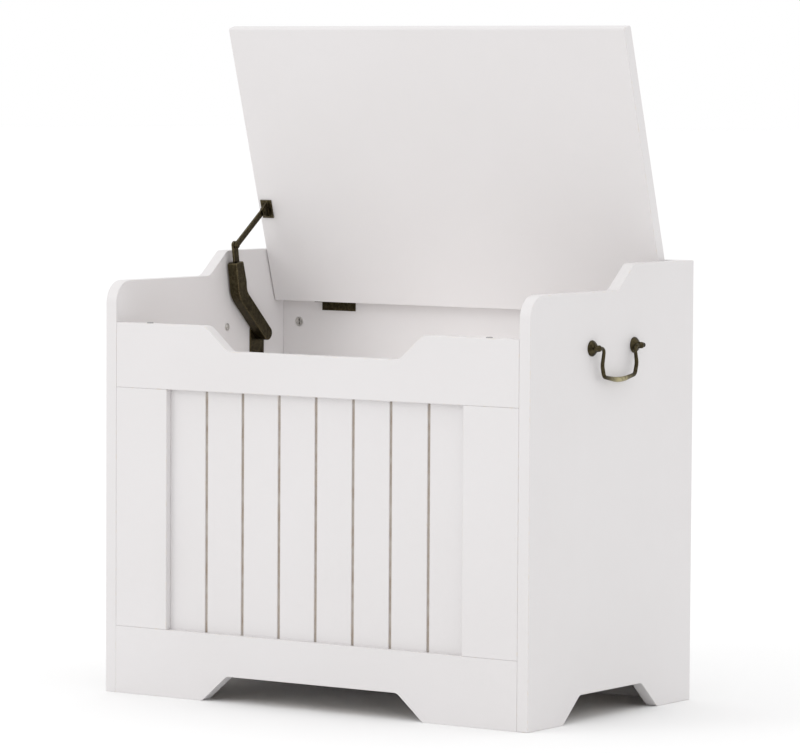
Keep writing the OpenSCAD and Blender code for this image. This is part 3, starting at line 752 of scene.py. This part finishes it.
def post_mesh(out):
    """A trumpet-shaped post with a pierced ball, drawn along +Z from the panel, with its eye at z = out."""
    foot = [(0.0, 9.1), (0.12, 9.25), (0.4, 9.3), (0.8, 9.3), (1.1, 9.25)]
    flare = [(1.3, 9.1), (1.9, 8.7), (2.6, 8.15), (3.4, 7.45), (4.2, 6.65),
             (4.9, 5.75), (5.5, 5.0), (6.1, 4.3), (6.7, 3.95)]
    trumpet = [(z * MM, r * MM) for z, r in foot + flare]
    neck = math.degrees(math.acos((out - POST_NECK) / POST_BALL))
    ball = arc((out, 0.0), POST_BALL, 180 - neck, 6, 20)
    eye = moved(turned_on([(-8 * MM, EYE), (8 * MM, EYE)], 32), (
        Matrix.Translation((0, 0, out)) @ Matrix.Rotation(math.pi / 2, 4, "X")))
    return cut(turned_on(trumpet + ball, 56), eye, "post")


def bail_line():
    """Points along the whole bail's centreline, along the panel and up from its pivot."""
    corners = [Vector(c) * MM for c in BAIL_CORNERS]
    points = [corners[0]]
    for i in range(1, len(corners) - 1):
        before = (corners[i - 1] - corners[i]).normalized()
        after = (corners[i + 1] - corners[i]).normalized()
        half_angle = before.angle(after) / 2
        bend = BAIL_BENDS[i] * MM
        centre = corners[i] + (before + after).normalized() * (bend / math.sin(half_angle))
        start = corners[i] + before * (bend / math.tan(half_angle)) - centre
        end = corners[i] + after * (bend / math.tan(half_angle)) - centre
        turn = start.angle_signed(end)
        count = max(3, int(abs(turn) * bend / BAIL_STEP))
        for k in range(count + 1):
            a = -turn * k / count
            points.append(centre + Vector((
                start.x * math.cos(a) - start.y * math.sin(a),
                start.x * math.sin(a) + start.y * math.cos(a))))
    one_side = [p for p in points if p.x >= 0]
    return filled(one_side + [Vector((-p.x, p.y)) for p in reversed(one_side) if p.x > 1e-6])


def filled(line):
    """A line with points added along its long stretches, and left out where they crowd."""
    dense = [line[0]]
    for point in line[1:]:
        last = dense[-1]
        gap = (point - last).length
        if gap > 0.25 * MM:
            count = max(1, round(gap / BAIL_STEP))
            dense += [last.lerp(point, (k + 1) / count) for k in range(count)]
    return dense


def share(value, start, length):
    """How far a value is along a stretch, from 0 to 1."""
    return min(1.0, max(0.0, (value - start) / length))


def bail_mesh():
    """The bail: a rod that swells towards its grip, with upset buttons at its two ends."""
    line = bail_line()
    lengths = np.concatenate(([0.0], np.cumsum([(b - a).length for a, b in zip(line, line[1:])])))
    bm = bmesh.new()
    # Marks the grip, where the bronze is painted lighter: partly rubbed wear, partly a painted highlight
    mark = bm.verts.layers.float.new("rubbed")
    rings = []
    for i, point in enumerate(line):
        ahead = line[min(i + 1, len(line) - 1)] - line[max(i - 1, 0)]
        side = Vector((0, -ahead.y, ahead.x)).normalized()
        from_end = min(lengths[i], lengths[-1] - lengths[i])
        leg = share(from_end, 14 * MM, 16 * MM)
        grip = 0.5 - 0.5 * math.cos(math.pi * share(from_end, 46 * MM, 30 * MM))
        radius = BAIL_ROD + 0.34 * MM * leg + 0.7 * MM * grip
        ring = []
        for a in around(BAIL_SIDES):
            offset = Vector((radius * math.cos(a), 0, 0)) + side * (radius * math.sin(a))
            vert = bm.verts.new(Vector((0, point.x, point.y)) + offset)
            vert[mark] = grip
            ring.append(vert)
        rings.append(ring)
    skin(bm, rings)
    bmesh.ops.recalc_face_normals(bm, faces=bm.faces)
    profile = [(-0.7, 1.9), (-0.6, 2.5), (-0.2, 2.8), (0.3, 2.75), (0.9, 2.3), (1.25, 1.5), (1.38, 0.6)]
    end_button = to_mesh(turned_on([(z * MM, r * MM) for z, r in profile], 32), "button")
    for way in (-1, 1):
        add_mesh(bm, end_button, Matrix.Translation((0, way * BUTTON_OUT, 0)) @ facing((0, way, 0), "X"))
    return to_mesh(bm, "bail")


def handles():
    """Both handles: the posts on the side panels, and the bail around its own pivot."""
    for side, way in (("right", 1), ("left", -1)):
        pivot = Vector(JOINT["bail_%s_swing" % side]["pos_m"])
        post_node, bail_node = "handle_%s_posts" % side, "handle_%s_bail" % side
        low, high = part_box(post_node)
        base = low.x if way > 0 else high.x
        template = post_mesh(abs(pivot.x - base))
        posts = bmesh.new()
        for points in solids_of(post_node):
            place = Matrix.Translation((base, middle(points).y, pivot.z))
            add_mesh(posts, template, place @ facing((way, 0, 0), "Y"))
        make_piece(post_node + "_turned", posts, [post_node], [BRONZE])
        bail = bmesh.new()
        add_mesh(bail, bail_mesh(), Matrix.Translation(pivot))
        make_piece(bail_node + "_rod", bail, [bail_node], [BRONZE])


boards()
slats()
rough_timber()
screws()
handle_screws()
cam_locks()
cam_bolts()
dowels()
plates()
pivots()
small_plastics()
handles()


# ---- Stage ----

FLOOR_RADIUS = 60.0
CAMERA_PLACE = (3.1146, -4.5482, 0.7355)
CAMERA_AROUND = math.radians(34.382)    # from the front towards the right
CAMERA_DOWN = math.radians(3.694)
CAMERA_ROLL = math.radians(0.32)
CAMERA_LENS = 209.75                    # in millimetres, on a sensor 36 mm wide


def add_floor():
    bm = bmesh.new()
    bmesh.ops.create_circle(bm, cap_ends=True, segments=96, radius=FLOOR_RADIUS)
    mesh = to_mesh(bm, "floor")
    mesh.materials.append(floor_material())
    floor = bpy.data.objects.new("floor", mesh)
    bpy.context.scene.collection.objects.link(floor)


def add_softbox(name, place, aim, size, power, mirrored=True):
    """A round soft light, aimed at a point. The camera doesn't see it, and gloss does if it is mirrored."""
    light = bpy.data.lights.new(name, "AREA")
    light.shape = "DISK"
    light.size = size
    light.energy = power
    obj = bpy.data.objects.new(name, light)
    obj.visible_camera = False
    obj.visible_glossy = mirrored
    obj.location = place
    obj.rotation_euler = (Vector(aim) - Vector(place)).to_track_quat("-Z", "Y").to_euler()
    bpy.context.scene.collection.objects.link(obj)


def add_overhead(strength):
    """A wide, soft light from straight above, which also lifts the floor to white."""
    light = bpy.data.lights.new("overhead", "SUN")
    light.energy = strength
    light.angle = math.radians(70)
    bpy.context.scene.collection.objects.link(bpy.data.objects.new("overhead", light))


def add_light():
    scene = bpy.context.scene
    scene.world = bpy.data.worlds.new("studio")
    scene.world.use_nodes = True
    background = scene.world.node_tree.nodes["Background"]
    background.inputs["Color"].default_value = colour(1.0, 1.0, 1.0)
    background.inputs["Strength"].default_value = 1.0
    add_softbox("key", place=(-2.6, -3.6, 2.6), aim=(0.0, 0.0, 0.3), size=2.4, power=26.0)
    add_overhead(strength=0.36)
    # Stands for the light that the white inside of the chest throws up onto the open lid
    add_softbox("chest_fill", place=(0.0, -0.02, 0.26), aim=(0.0, 0.09, 0.62), size=0.28, power=0.46,
                mirrored=False)
    scene.view_settings.view_transform = "Standard"
    scene.view_settings.look = "None"


def add_camera():
    """A long lens, a little above the seat, in front of the right front corner."""
    data = bpy.data.cameras.new("camera")
    data.sensor_width = 36.0
    data.lens = CAMERA_LENS
    data.clip_end = 200.0
    camera = bpy.data.objects.new("camera", data)
    camera.matrix_world = (
        Matrix.Translation(CAMERA_PLACE)
        @ Matrix.Rotation(CAMERA_AROUND, 4, "Z")
        @ Matrix.Rotation(math.pi / 2 - CAMERA_DOWN, 4, "X")
        @ Matrix.Rotation(CAMERA_ROLL, 4, "Z"))
    bpy.context.scene.collection.objects.link(camera)
    bpy.context.scene.camera = camera


add_floor()
add_light()
add_camera()
